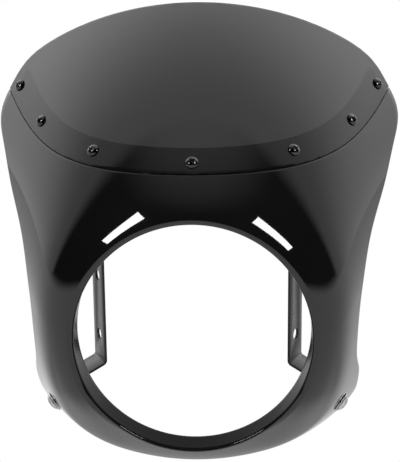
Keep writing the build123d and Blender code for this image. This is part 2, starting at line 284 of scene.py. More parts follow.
class CowlStage(bpy.types.PropertyGroup):
    """Camera, light and floor."""

    camera_place: bpy.props.FloatVectorProperty(
        name="Camera", description="Place of the camera", size=3, unit="LENGTH", subtype="TRANSLATION",
        default=(0.04177, -0.93839, 0.35278))
    camera_pitch: turning("Pitch", "How far the camera looks down", 15.894)
    camera_yaw: turning("Yaw", "How far the camera is turned to the left", 2.155)
    camera_roll: turning("Roll", "How far the camera leans", -0.641713)
    lens: bpy.props.FloatProperty(
        name="Lens", description="Focal length", unit="CAMERA", default=105.214)
    floor_height: length("Floor height", "Height of the floor below the hanging cowl", -0.75)
    floor_behind: ratio("Floor behind", "Brightness of the far floor where the cowl mirrors it", 0.5)
    sweep_near: ratio("Sweep edge", "Strength of the white sweep at its front edge", 0.65)
    sweep_far: ratio("Sweep rise", "How much brighter the sweep is further back", 1.1)
    sweep_sides: ratio("Sweep sides", "How many times that rise the sweep has at its sides", 4.2)
    gap_behind: ratio("Gap behind", "Share of the sweep that is left straight behind the cowl", 0.4)
    overhead: ratio("Overhead", "Strength of the glow overhead", 0.6)
    box_turn_left: turning("Left softbox", "How far the left softbox stands to the side", 47.6)
    box_turn_right: turning("Right softbox", "How far the right softbox stands to the side", 48.7)
    box_rise_left: turning("Left rise", "Height angle of the left softbox", 38.2)
    box_rise_right: turning("Right rise", "Height angle of the right softbox", 35.6)
    box_lean: turning("Softbox lean", "How far the softboxes lean together at the top", 23)
    box_distance: length("Softbox distance", "Distance of the softboxes", 1.6)
    box_width: length("Softbox width", "Width of the softboxes", 0.165)
    box_height: length("Softbox height", "Height of the softboxes", 0.62)
    box_power: bpy.props.FloatProperty(
        name="Softbox power", description="Power of each softbox", unit="POWER", default=8.5)


def skin_size(skin, depth):
    """Half width, top, bottom, centre height and lower power of the skin at one depth."""
    crown = skin.lamp_bore + skin.rim_width
    half_width = crown + skin.brow_flare * (1 - exp(-depth / skin.brow_run))
    half_width += skin.side_slope * depth + skin.side_curve * depth * depth
    top = crown + skin.screen_slope * skin.screen_fall * (1 - exp(-depth / skin.screen_fall))
    top += skin.nose_flare * (1 - exp(-depth / skin.nose_run))
    bottom = -crown - skin.chin_flare * (1 - exp(-depth / skin.chin_run)) - skin.chin_slope * depth
    power = 2 + skin.jaw_square * (1 - exp(-depth / skin.jaw_run))
    return half_width, top, bottom, skin.centre_slope * depth, power


def skin_point(skin, angle, depth):
    """Point of the skin at an angle around its section at one depth."""
    half_width, top, bottom, centre, power = skin_size(skin, depth)
    height = centre - bottom
    if sin(angle) >= 0:
        height = top - centre
        power = 2
    reach = abs(cos(angle) / half_width) ** power + abs(sin(angle) / height) ** power
    radius = reach ** (-1 / power)
    return Vector((radius * cos(angle), depth, centre + radius * sin(angle)))


def skin_normal(skin, angle, depth):
    """Outward normal of the skin."""
    step = 0.0002
    turn = 0.01
    around = skin_point(skin, angle + turn, depth) - skin_point(skin, angle - turn, depth)
    along = skin_point(skin, angle, depth + step) - skin_point(skin, angle, max(depth - step, 0))
    return along.cross(around).normalized()


def skin_side(skin, depth, height):
    """Point on the right-hand side of the skin at one depth and height, or on its middle line."""
    half_width, top, bottom, centre, power = skin_size(skin, depth)
    if height >= centre:
        share = 1 - min(1, (height - centre) / (top - centre)) ** 2
        return Vector((half_width * sqrt(share), depth, height))
    share = 1 - min(1, (centre - height) / (centre - bottom)) ** power
    return Vector((half_width * share ** (1 / power), depth, height))


def skin_angle(skin, point):
    """Angle of a skin point around its section."""
    return atan2(point.z - skin.centre_slope * point.y, point.x)


def smooth_line(knots, steps):
    """Fine points of the smooth curve through knots, spaced by the distance between them."""
    knots = [Vector(knot) for knot in knots]
    count = len(knots)
    gaps = [(b - a).length for a, b in zip(knots, knots[1:])]
    slopes = [(b - a) / gap for a, b, gap in zip(knots, knots[1:], gaps)]
    bends = [Vector((0, 0))] * count
    weights = [0.0] * count
    for i in range(1, count - 1):
        weight = 2 * (gaps[i - 1] + gaps[i]) - gaps[i - 1] * weights[i - 1]
        weights[i] = gaps[i] / weight
        bends[i] = (6 * (slopes[i] - slopes[i - 1]) - gaps[i - 1] * bends[i - 1]) / weight
    for i in range(count - 2, 0, -1):
        bends[i] = bends[i] - weights[i] * bends[i + 1]
    line = []
    for i in range(count - 1):
        for k in range(steps):
            t = gaps[i] * k / steps
            rise = slopes[i] - gaps[i] * (2 * bends[i] + bends[i + 1]) / 6
            curve = bends[i] / 2 * t * t + (bends[i + 1] - bends[i]) / (6 * gaps[i]) * t ** 3
            line.append(knots[i] + rise * t + curve)
    line.append(knots[-1])
    return line


def read_line(line, value, given, wanted):
    """Coordinate wanted of a fine line where its coordinate given reaches value."""
    for a, b in zip(line, line[1:]):
        if (a[given] - value) * (b[given] - value) <= 0 and a[given] != b[given]:
            share = (value - a[given]) / (b[given] - a[given])
            return a[wanted] + share * (b[wanted] - a[wanted])
    nearest = min(line[0], line[-1], key=lambda point: abs(point[given] - value))
    return nearest[wanted]


def crossing(inside, low, high):
    """Depth between low and high where a test stops being true."""
    halvings = 40
    for _ in range(halvings):
        middle = (low + high) / 2
        if inside(middle):
            low = middle
        else:
            high = middle
    return low


def nose_depth(skin, seam):
    """Depth at which the top of the skin rises past the seam."""
    return crossing(lambda y: skin_size(skin, y)[1] < read_line(seam, y, 0, 1), 0, NOSE_LIMIT)


def even_points(points, count):
    """Points spread evenly along a chain of points."""
    reach = [0.0]
    for a, b in zip(points, points[1:]):
        reach.append(reach[-1] + (b - a).length)
    spread = []
    k = 0
    for i in range(count):
        goal = reach[-1] * i / (count - 1)
        while k < len(points) - 2 and reach[k + 1] < goal:
            k += 1
        share = (goal - reach[k]) / max(reach[k + 1] - reach[k], 1e-12)
        spread.append(points[k].lerp(points[k + 1], min(share, 1)))
    return spread


def shade(mesh, sharp):
    """Smooth shading, apart from edges that turn by more than an angle in degrees."""
    mesh.shade_smooth()
    mesh.set_sharp_from_angle(angle=radians(sharp))


def link_mesh(name, bm, sharp=SHARP_ANGLE):
    """Object that holds a finished bmesh."""
    mesh = bpy.data.meshes.new(name)
    bm.to_mesh(mesh)
    bm.free()
    shade(mesh, sharp)
    piece = bpy.data.objects.new(name, mesh)
    bpy.context.scene.collection.objects.link(piece)
    return piece


def settle(piece):
    """Puts a piece's modifiers into its mesh."""
    bpy.context.view_layer.update()
    graph = bpy.context.evaluated_depsgraph_get()
    mesh = bpy.data.meshes.new_from_object(piece.evaluated_get(graph))
    piece.modifiers.clear()
    piece.data = mesh
    shade(mesh, SHARP_ANGLE)


def carve(piece, cutter, operation="DIFFERENCE"):
    """Cuts the shape of cutter out of a piece, or all but that shape, and removes the cutter."""
    cut = piece.modifiers.new("cut", "BOOLEAN")
    cut.operation = operation
    cut.solver = "EXACT"
    cut.object = cutter
    settle(piece)
    bpy.data.objects.remove(cutter)


def soften(piece, width, segments=3):
    """Rounds the sharp edges of a piece."""
    edge = piece.modifiers.new("edge", "BEVEL")
    edge.width = width
    edge.segments = segments
    edge.limit_method = "ANGLE"
    edge.angle_limit = radians(ROUND_ANGLE)
    edge.use_clamp_overlap = True
    settle(piece)


def dress(piece, slot, material, *nodes):
    """Gives a piece its finish and its body, and hides the imported nodes that it stands for."""
    piece.data.materials.clear()
    piece.data.materials.append(material)
    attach(piece, "root")
    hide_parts(*nodes)


def place_copies(name, single, places):
    """One object with a copy of a single piece at each place."""
    bm = bmesh.new()
    for place in places:
        known = len(bm.verts)
        bm.from_mesh(single.data)
        bm.verts.ensure_lookup_table()
        bmesh.ops.transform(bm, matrix=place, verts=bm.verts[known:])
    bpy.data.objects.remove(single)
    return link_mesh(name, bm)


def turned(name, profile, facets=FACETS):
    """Object made by turning a profile of radius and height once about Z."""
    bm = bmesh.new()
    verts = [bm.verts.new((radius, 0, height)) for radius, height in profile]
    edges = [bm.edges.new(pair) for pair in zip(verts, verts[1:])]
    bmesh.ops.spin(
        bm, geom=verts + edges, cent=(0, 0, 0), axis=(0, 0, 1), angle=2 * pi, steps=facets,
        use_merge=True)
    bmesh.ops.remove_doubles(bm, verts=bm.verts[:], dist=1e-7)
    bmesh.ops.recalc_face_normals(bm, faces=bm.faces[:])
    return link_mesh(name, bm)


def bar(name, sides, radius, low, high, place=Matrix.Identity(4)):
    """Straight bar with a number of sides, between two heights of a place."""
    bm = bmesh.new()
    middle = place @ Matrix.Translation((0, 0, (low + high) / 2))
    bmesh.ops.create_cone(
        bm, cap_ends=True, segments=sides, radius1=radius, radius2=radius, depth=high - low, matrix=middle)
    return link_mesh(name, bm)


def domed_profile(shank, head, foot, seat, crown):
    """Radius and height points of a domed screw from its crown down to the end of its shank."""
    band = 0.28
    steps = 14
    bevel = 0.0004
    rise = (crown - seat) * (1 - band)
    ball = (head * head + rise * rise) / (2 * rise)
    reach = atan2(head, ball - rise)
    turns = [reach * k / steps for k in range(steps + 1)]
    arc = [(ball * sin(turn), crown - ball + ball * cos(turn)) for turn in turns]
    return arc + [
        (head, seat + bevel), (head - bevel, seat), (shank, seat),
        (shank, foot + bevel), (shank - bevel, foot), (0, foot),
    ]


def ring(name, outer, inner, low, high):
    """Flat washer between two heights."""
    bevel_share = 0.2
    bevel = (high - low) * bevel_share
    return turned(name, [
        (inner, low), (outer - bevel, low), (outer, low + bevel), (outer, high - bevel),
        (outer - bevel, high), (inner, high), (inner, low),
    ], HOLE_FACETS)


def hexagon_nut(name, flats, hole, low, high):
    """Hexagonal nut with chamfered corners between two heights."""
    corner = flats / sqrt(3)
    slope = 0.55
    nut = bar(name, 6, corner, low, high)
    carve(nut, bar("nut_bore", HOLE_FACETS, hole, 2 * low - high, 2 * high - low))
    reach = corner - flats / 2
    chamfer = reach * 2 * slope
    carve(nut, turned("nut_chamfer", [
        (0, low), (flats / 2, low), (corner + reach, low + chamfer),
        (corner + reach, high - chamfer), (flats / 2, high), (0, high),
    ]), "INTERSECT")
    soften(nut, width=0.0002, segments=2)
    return nut


def facing(point, axis):
    """Place at a point whose Z axis runs along an axis."""
    return Matrix.Translation(point) @ axis.to_track_quat("Z", "Y").to_matrix().to_4x4()


def frame_on_skin(skin, point, turn):
    """Place on the skin whose Z axis points straight out of it."""
    normal = skin_normal(skin, skin_angle(skin, point), point.y)
    return facing(point, normal) @ Matrix.Rotation(turn, 4, "Z")


def both_sides(place):
    """A place on the right-hand side and its mirror image on the left."""
    flip = Matrix.Scale(-1, 4, (1, 0, 0))
    return [place, flip @ place @ flip]


def screw_places(skin, fit):
    """Places of the windscreen screws: one in the middle and three on each side."""
    seam = smooth_line(SEAM_LINE, SCREW_STEPS)
    middle = Vector((0, fit.screw_front, skin_size(skin, fit.screw_front)[1]))
    places = [frame_on_skin(skin, middle, MIDDLE_TURN)]
    for depth, turn in zip(fit.screw_depths, SIDE_TURNS):
        height = read_line(seam, depth, 0, 1) + fit.screw_rise
        places += both_sides(frame_on_skin(skin, skin_side(skin, depth, height), turn))
    return places


def bolt_place(skin, fit):
    """Place of the right-hand bolt, its X axis along the bracket's width."""
    point = skin_side(skin, fit.bolt_depth, fit.bolt_height)
    normal = skin_normal(skin, skin_angle(skin, point), point.y)
    splay = atan2(-normal.y, normal.x)
    across = Vector((sin(splay), cos(splay), 0))
    axes = Matrix((across, normal.cross(across), normal)).transposed()
    return Matrix.Translation(point) @ axes.to_4x4(), across, Vector((cos(splay), -sin(splay), 0))


def rim_arc(skin, angle):
    """Outward direction, centre depth and whole turn of the arc that rolls the bore into the skin."""
    outward = Vector((cos(angle), 0, sin(angle)))
    step = 0.001
    slope = (skin_point(skin, angle, step) - skin_point(skin, angle, 0)).dot(outward) / step
    run = sqrt(1 + slope * slope)
    depth = (skin.rim_roll - (skin.rim_width - skin.rim_roll) / run) * run / slope
    return outward, depth, pi / 2 + atan2(1, slope)


def rolled(outward, bore, roll, depth, turn):
    """Point of an arc that leaves the bore and turns outwards."""
    return outward * (bore + roll - roll * cos(turn)) + Vector((0, depth - roll * sin(turn), 0))


def rim_roll_point(skin, angle, share):
    """Point of the rolled rim: an arc from the bore into the skin, swept back and tighter at the chin."""
    outward, depth, whole = rim_arc(skin, angle)
    brow = rolled(outward, skin.lamp_bore, skin.rim_roll, depth, share * whole)
    if share > 0.5:
        chin = chin_point(skin, angle, (share * 2 - 1) * CHIN_START)
    else:
        setback = skin.chin_setback + skin.chin_roll
        chin = rolled(outward, skin.lamp_bore, skin.chin_roll, setback, share * pi)
    return brow.lerp(chin, chin_share(angle))


def roll_end(skin, angle):
    """Depth at which the rolled rim runs into the skin."""
    least = 0.0002
    depth, whole = rim_arc(skin, angle)[1:]
    return max(least, depth - skin.rim_roll * sin(whole))


def chin_share(angle):
    """How much of the swept-back chin a column has: none at the sides, all of it at the bottom."""
    share = min(1, max(0, (-sin(angle) - CHIN_FROM) / (CHIN_FULL - CHIN_FROM)))
    return share * share * (3 - 2 * share)


def chin_point(skin, angle, share):
    """Point of the swept-back chin between the rim and the skin that it runs into."""
    outward = Vector((cos(angle), 0, sin(angle)))
    front = outward * (skin.lamp_bore + skin.chin_roll) + Vector((0, skin.chin_setback, 0))
    end = skin_point(skin, angle, skin.chin_join)
    step = 0.001
    end_handle = 0.012
    lean_back = 0.96
    slope = (end - skin_point(skin, angle, skin.chin_join - step)).normalized()
    first = front + (outward + Vector((0, lean_back, 0))).normalized() * skin.chin_bulge
    return cubic(front, first, end - slope * end_handle, end, share)


def cubic(start, first, second, end, share):
    """Point of the cubic curve with two handles."""
    rest = 1 - share
    near = start * rest ** 3 + first * (3 * rest * rest * share)
    return near + second * (3 * rest * share * share) + end * share ** 3


def sheet_of_columns(columns):
    """Bmesh sheet through columns of points, all of the same count."""
    rows = len(columns[0])
    bm = bmesh.new()
    bmesh.ops.create_grid(bm, x_segments=len(columns) - 1, y_segments=rows - 1, size=1)
    bm.verts.ensure_lookup_table()
    for k, vert in enumerate(bm.verts):
        vert.co = columns[k % len(columns)][k // len(columns)]
    return bm


def mirrored(name, bm, merge=0.0):
    """Object with a right half and its mirror image, and points closer than merge made one."""
    bmesh.ops.mirror(bm, geom=bm.verts[:] + bm.edges[:] + bm.faces[:], axis="X", merge_dist=1e-5)
    if merge:
        bmesh.ops.remove_doubles(bm, verts=bm.verts[:], dist=merge)
    bmesh.ops.recalc_face_normals(bm, faces=bm.faces[:])
    return link_mesh(name, bm, sharp=60)


def corners(made):
    """Points among the parts that an extrusion made."""
    return [part for part in made if isinstance(part, bmesh.types.BMVert)]


def thicken(piece, thickness, side=-1, fine=True):
    """Gives a sheet its thickness on one side."""
    wall = piece.modifiers.new("wall", "SOLIDIFY")
    wall.thickness = thickness
    wall.offset = side
    wall.use_even_offset = True
    wall.use_quality_normals = fine
    settle(piece)


def make_wall(piece, skin, fit, rear):
    """Gives a moulded sheet its wall, cut off square at the rear edge and rounded."""
    thicken(piece, skin.wall)
    trim_rear(piece, rear)
    soften(piece, fit.edge_round)


def trim_rear(piece, rear):
    """Cuts a piece's wall off square at the rear edge in side view."""
    step = 0.0005
    low = rear[-1][1]
    count = int((rear[0][1] - low) / step) + 1
    depths = [read_line(rear, low + k * step, 1, 0) for k in range(count)]
    for vert in piece.data.vertices:
        place = (vert.co.z - low) / step
        k = max(0, min(int(place), len(depths) - 2))
        limit = depths[k] + (depths[k + 1] - depths[k]) * (place - k)
        vert.co.y = min(vert.co.y, limit)


def new_finish(name):
    """New material with its node tree and its shader."""
    material = bpy.data.materials.new(name)
    material.use_nodes = True
    tree = material.node_tree
    return material, tree, tree.nodes["Principled BSDF"]


def noise(tree, scale, detail=4.0):
    """Noise over the piece's own coordinates."""
    place = tree.nodes.new("ShaderNodeTexCoord")
    speck = tree.nodes.new("ShaderNodeTexNoise")
    speck.inputs["Scale"].default_value = scale
    speck.inputs["Detail"].default_value = detail
    tree.links.new(place.outputs["Object"], speck.inputs["Vector"])
    return speck.outputs["Fac"]


def ranged(tree, source, span, start, end, kind="LINEAR"):
    """Source within a span, carried over to the range from start to end."""
    carried = tree.nodes.new("ShaderNodeMapRange")
    carried.interpolation_type = kind
    for socket, value in zip(("From Min", "From Max", "To Min", "To Max"), (*span, start, end)):
        carried.inputs[socket].default_value = value
    tree.links.new(source, carried.inputs["Value"])
    return carried.outputs["Result"]


def soft_step(tree, source, span, start, end):
    """Smooth step from start to end while source runs through a span."""
    return ranged(tree, source, span, start, end, "SMOOTHSTEP")


def joined(tree, operation, first, second):
    """Two values joined by one operation."""
    both = tree.nodes.new("ShaderNodeMath")
    both.operation = operation
    tree.links.new(first, both.inputs[0])
    tree.links.new(second, both.inputs[1])
    return both.outputs[0]


def mixed(tree, share, source, value):
    """Source where share is nought, and a fixed value where it is one."""
    blend = tree.nodes.new("ShaderNodeMix")
    tree.links.new(share, blend.inputs["Factor"])
    tree.links.new(source, blend.inputs["A"])
    blend.inputs["B"].default_value = value
    return blend.outputs["Result"]


def split(tree, source):
    """Sockets of a vector's X, Y and Z."""
    parts = tree.nodes.new("ShaderNodeSeparateXYZ")
    tree.links.new(source, parts.inputs["Vector"])
    return parts.outputs


def tint(tree, source, dark, pale):
    """Colour that runs from dark to pale with source."""
    ramp = tree.nodes.new("ShaderNodeValToRGB")
    for element, position, tone in zip(ramp.color_ramp.elements, NOISE_BAND, (dark, pale)):
        element.position = position
        element.color = (*tone, 1)
    tree.links.new(source, ramp.inputs["Fac"])
    return ramp.outputs["Color"]


def bump(tree, source, strength, distance):
    """Normal that rises and falls with source."""
    relief = tree.nodes.new("ShaderNodeBump")
    relief.inputs["Strength"].default_value = strength
    relief.inputs["Distance"].default_value = distance
    tree.links.new(source, relief.inputs["Height"])
    return relief.outputs["Normal"]


def drifting_finish(name, base, rough, pale, scales, detail, strength, height):
    """Material whose colour, roughness and surface drift a little over the piece."""
    material, tree, shader = new_finish(name)
    lighter = [channel * pale for channel in base]
    colours = tint(tree, noise(tree, scales[0]), base, lighter)
    roughness = ranged(tree, noise(tree, scales[1]), NOISE_BAND, *rough)
    relief = bump(tree, noise(tree, scales[2], detail), strength, height)
    tree.links.new(colours, shader.inputs["Base Color"])
    tree.links.new(roughness, shader.inputs["Roughness"])
    tree.links.new(relief, shader.inputs["Normal"])
    return material, shader


def gloss_finish(name, base, rough, cover=1.0):
    """Glossy moulded plastic with a faint drift in colour and gloss."""
    material, shader = drifting_finish(
        name, base, rough, pale=1.5, scales=(9.0, 45.0, 60.0), detail=2.0, strength=0.03, height=0.0005)
    shader.inputs["IOR"].default_value = 1.5
    shader.inputs["Alpha"].default_value = cover
    return material


def paint_finish(name, base, rough, grain, metal=0.0, shine=0.5):
    """Satin paint, black nylon or plating with a fine grain."""
    material, shader = drifting_finish(
        name, base, rough, pale=1.8, scales=(160.0, 420.0, grain), detail=3.0, strength=0.12, height=0.0002)
    shader.inputs["Metallic"].default_value = metal
    shader.inputs["Specular IOR Level"].default_value = shine
    return material


class COWL_OT_shell(bpy.types.Operator):
    """Moulded shell: rolled rim, lip, outer skin and the flange behind the windscreen"""

    bl_idname = "cowl.shell"
    bl_label = "Shell"

    def execute(self, context):
        scene = context.scene
        skin, fit = scene.cowl_skin, scene.cowl_screen
        rear = smooth_line(REAR_EDGE, EDGE_STEPS)
        piece = self.skin_sheet(skin, fit, rear, smooth_line(SEAM_LINE, SEAM_STEPS))
        make_wall(piece, skin, fit, rear)
        self.add_bosses(piece, skin, scene.cowl_bracket)
        self.mark_inside(piece, skin)
        finish = gloss_finish("shell_gloss", scene.cowl_finish.shell_black, rough=(0.02, 0.04))
        self.dull_inside(finish.node_tree)
        dress(piece, "shell_black", finish, "cowl_shell")
        return {"FINISHED"}

    def skin_sheet(self, skin, fit, rear, seam):
        """Sheet of the right half, mirrored to the left."""
        chin = self.chin_depth(skin, rear)
        clear = 0.0002
        edge = [Vector((0, chin, skin_size(skin, chin)[2]))]
        for depth, height in reversed(rear):
            above_chin = height > skin_size(skin, depth)[2] + clear
            if above_chin and height < read_line(seam, depth, 0, 1):
                edge.append(skin_side(skin, depth, height))
        tip = len(edge)
        nose = nose_depth(skin, seam)
        for depth, height in reversed(seam):
            if nose < depth < edge[tip - 1].y:
                edge.append(skin_side(skin, depth, height))
        edge.append(Vector((0, nose, skin_size(skin, nose)[1])))
        ends = even_points(edge[:tip], REAR_COLUMNS)
        ends += even_points(edge[tip - 1:], SEAM_COLUMNS)[1:]
        bm = sheet_of_columns([self.column(skin, end) for end in ends])
        self.add_flange(bm, skin, fit, rear, seam, ends)
        return mirrored("shell", bm)

    def chin_depth(self, skin, rear):
        """Depth where the rear edge meets the middle of the chin."""
        low = [point for point in rear if point[1] < CHIN_HEIGHT]
        for a, b in zip(low, low[1:]):
            if a[1] >= skin_size(skin, a[0])[2] and b[1] < skin_size(skin, b[0])[2]:
                drop = a[1] - skin_size(skin, a[0])[2]
                rest = skin_size(skin, b[0])[2] - b[1]
                return a[0] + (b[0] - a[0]) * drop / (drop + rest)
        raise RuntimeError("the rear edge doesn't meet the chin")

    def column(self, skin, end):
        """Points from the lip's back edge round the rim and along the skin to its end."""
        angle = skin_angle(skin, end)
        outward = Vector((cos(angle), 0, sin(angle)))
        lip = skin.lip_depth
        run = rim_roll_point(skin, angle, 0).y - lip
        depths = [lip + run * k / LIP_ROWS for k in range(LIP_ROWS)]
        points = [outward * skin.lamp_bore + Vector((0, depth, 0)) for depth in depths]
        points += [rim_roll_point(skin, angle, k / ROLL_ROWS) for k in range(ROLL_ROWS)]
        start = roll_end(skin, angle)
        for k in range(SKIN_ROWS):
            depth = start + (end.y - start) * (k / (SKIN_ROWS - 1)) ** SKIN_CROWD
            point = skin_point(skin, angle, depth)
            if depth < skin.chin_join:
                share = ((depth - start) / (skin.chin_join - start)) ** CHIN_CROWD
                chin = chin_point(skin, angle, CHIN_START + (1 - CHIN_START) * share)
                point = point.lerp(chin, chin_share(angle))
            points.append(point)
        return points

    def add_flange(self, bm, skin, fit, rear, seam, ends):
        """Step in from the seam and the strip that the windscreen is screwed to."""
        bm.verts.ensure_lookup_table()
        across = len(ends)
        last = bm.verts[len(bm.verts) - across:]
        first = tip = REAR_COLUMNS - 1
        tops = {}
        for k in range(tip, across):
            angle = skin_angle(skin, ends[k])
            top = self.flange_depth(skin, fit, rear, seam, angle, ends[k].y)
            if top - ends[k].y < FLANGE_LEAST:
                first = k + 1
            tops[k] = angle, top
        edges = [bm.edges.get((last[k], last[k + 1])) for k in range(first, across - 1)]
        inset = skin.wall + fit.flange_gap
        for share in FLANGE_ROWS:
            made = bmesh.ops.extrude_edge_only(bm, edges=edges)["geom"]
            edges = [part for part in made if isinstance(part, bmesh.types.BMEdge)
                     and all(vert in made for vert in part.verts)]
            verts = sorted(corners(made), key=lambda vert: skin_angle(skin, vert.co))
            for vert, k in zip(verts, range(first, across)):
                angle, top = tops[k]
                depth = ends[k].y + (top - ends[k].y) * share
                point = skin_point(skin, angle, depth)
                vert.co = point - skin_normal(skin, angle, depth) * inset

    def flange_depth(self, skin, fit, rear, seam, angle, start):
        """Depth where the flange ends on one column."""
        def below_edge(depth):
            point = skin_point(skin, angle, depth)
            under = point.z < read_line(seam, depth, 0, 1) + fit.flange_rise
            return under and depth < read_line(rear, point.z, 1, 0) - fit.flange_setback
        return crossing(below_edge, start, REAR_LIMIT)

    def dull_inside(self, tree):
        """Makes the marked inside of the shell matt."""
        shader = tree.nodes["Principled BSDF"]
        mark = tree.nodes.new("ShaderNodeAttribute")
        mark.attribute_name = "inside"
        gloss = shader.inputs["Roughness"].links[0].from_socket
        roughness = mixed(tree, mark.outputs["Fac"], gloss, INSIDE_ROUGHNESS)
        shine = ranged(tree, mark.outputs["Fac"], (0, 1), OUTSIDE_SHINE, INSIDE_SHINE)
        tree.links.new(roughness, shader.inputs["Roughness"])
        tree.links.new(shine, shader.inputs["Specular IOR Level"])

    def mark_inside(self, piece, skin):
        """Attribute that is 1 on the unpolished inside and 0 on the polished outside."""
        inside = piece.data.attributes.new("inside", "FLOAT", "POINT")
        for vert, share in zip(piece.data.vertices, inside.data):
            point = vert.co
            lip = (skin.lamp_bore + LIP_REACH - hypot(point.x, point.z)) / LIP_FADE
            outer = skin_point(skin, skin_angle(skin, point), max(point.y, 0))
            within = (outer - point).length > skin.wall * INNER_SHARE and point.y > skin.chin_join
            share.value = 1.0 if within else min(1, max(0, lip))

    def add_bosses(self, piece, skin, bracket):
        """Round bosses inside the shell that the bracket feet sit on."""
        place = bolt_place(skin, bracket)[0]
        play = 1.08
        sunk = 0.6
        bevel = 0.0006
        flare = 0.0008
        bore, rim = bracket.bolt_radius * play, bracket.boss_radius
        low, high = -bracket.boss_depth, -skin.wall * sunk
        boss = turned("boss", [
            (bore, low), (rim - bevel, low), (rim, low + bevel),
            (rim + flare, high), (bore, high), (bore, low),
        ])
        bosses = place_copies("bosses", boss, both_sides(place))
        bm = bmesh.new()
        bm.from_mesh(piece.data)
        bm.from_mesh(bosses.data)
        bpy.data.objects.remove(bosses)
        bm.to_mesh(piece.data)
        bm.free()
        shade(piece.data, sharp=40)


class COWL_OT_windscreen(bpy.types.Operator):
    """Smoked windscreen above the seam"""

    bl_idname = "cowl.windscreen"
    bl_label = "Windscreen"

    def execute(self, context):
        skin, fit = context.scene.cowl_skin, context.scene.cowl_screen
        rear = smooth_line(REAR_EDGE, EDGE_STEPS)
        seam = [point + Vector((0, fit.seam_gap)) for point in smooth_line(SEAM_LINE, SEAM_STEPS)]
        nose = nose_depth(skin, seam)
        edge = [Vector((0, nose, skin_size(skin, nose)[1]))]
        for depth, height in seam:
            if nose < depth < read_line(rear, height, 1, 0):
                edge.append(skin_side(skin, depth, height))
        columns = [self.column(skin, rear, start) for start in even_points(edge, SCREEN_COLUMNS)]
        piece = mirrored("smoked_screen", sheet_of_columns(columns), merge=2e-5)
        make_wall(piece, skin, fit, rear)
        finish = context.scene.cowl_finish
        smoke = gloss_finish("screen_smoke", finish.smoke, rough=(0.05, 0.08), cover=finish.smoke_cover)
        dress(piece, "smoked_screen", smoke, "windscreen")
        return {"FINISHED"}

    def column(self, skin, rear, start):
        """Points of one column from the seam to the rear edge."""
        angle = skin_angle(skin, start)
        end = crossing(
            lambda y: y < read_line(rear, skin_point(skin, angle, y).z, 1, 0), start.y, REAR_LIMIT)
        depths = [start.y + (end - start.y) * k / SCREEN_ROWS for k in range(SCREEN_ROWS + 1)]
        return [skin_point(skin, angle, depth) for depth in depths]


class COWL_OT_screen_screws(bpy.types.Operator):
    """Domed screws with a cross recess along the windscreen's foot"""

    bl_idname = "cowl.screen_screws"
    bl_label = "Windscreen screws"

    def execute(self, context):
        skin, fit = context.scene.cowl_skin, context.scene.cowl_screen
        seat = fit.head_relief
        crown = seat + fit.screw_dome
        foot = -fit.screw_length
        screw = turned("screw", domed_profile(fit.screw_radius, fit.screw_head, foot, seat, crown))
        for turn in (0, pi / 2):
            bm = bmesh.new()
            slot = Matrix.LocRotScale(
                (0, 0, crown), Matrix.Rotation(turn, 3, "Z"),
                (fit.recess_span, fit.recess_width, fit.recess_depth * 2))
            bmesh.ops.create_cube(bm, size=1, matrix=slot)
            carve(screw, link_mesh("recess", bm))
        soften(screw, width=0.00012, segments=2)
        piece = place_copies("screen_screws", screw, screw_places(skin, fit))
        black = context.scene.cowl_finish.screw_black
        finish = paint_finish("screw_plating", black, rough=(0.09, 0.15), grain=900.0, metal=1.0)
        dress(piece, "screw_black", finish, "windscreen_screws")
        return {"FINISHED"}


class COWL_OT_screen_fixings(bpy.types.Operator):
    """Nylon washers and nuts behind the flange"""

    bl_idname = "cowl.screen_fixings"
    bl_label = "Windscreen washers and nuts"

    def execute(self, context):
        skin, fit = context.scene.cowl_skin, context.scene.cowl_screen
        places = screw_places(skin, fit)
        seat = -2 * skin.wall - fit.flange_gap - fit.washer_relief
        back = seat - fit.washer_height
        black = context.scene.cowl_finish.nylon_black
        finish = paint_finish("nylon_black", black, rough=(0.45, 0.6), grain=700.0)
        washer = ring("washer", fit.washer_radius, fit.screw_radius + HOLE_PLAY, back, seat)
        dress(place_copies("screen_washers", washer, places), "nylon_black", finish, "windscreen_washers")
        nut = hexagon_nut(
            "nut", fit.nut_flats, fit.screw_radius + THREAD_PLAY, back - fit.nut_height, back)
        dress(place_copies("screen_nuts", nut, places), "nylon_black", finish, "windscreen_nuts")
        return {"FINISHED"}


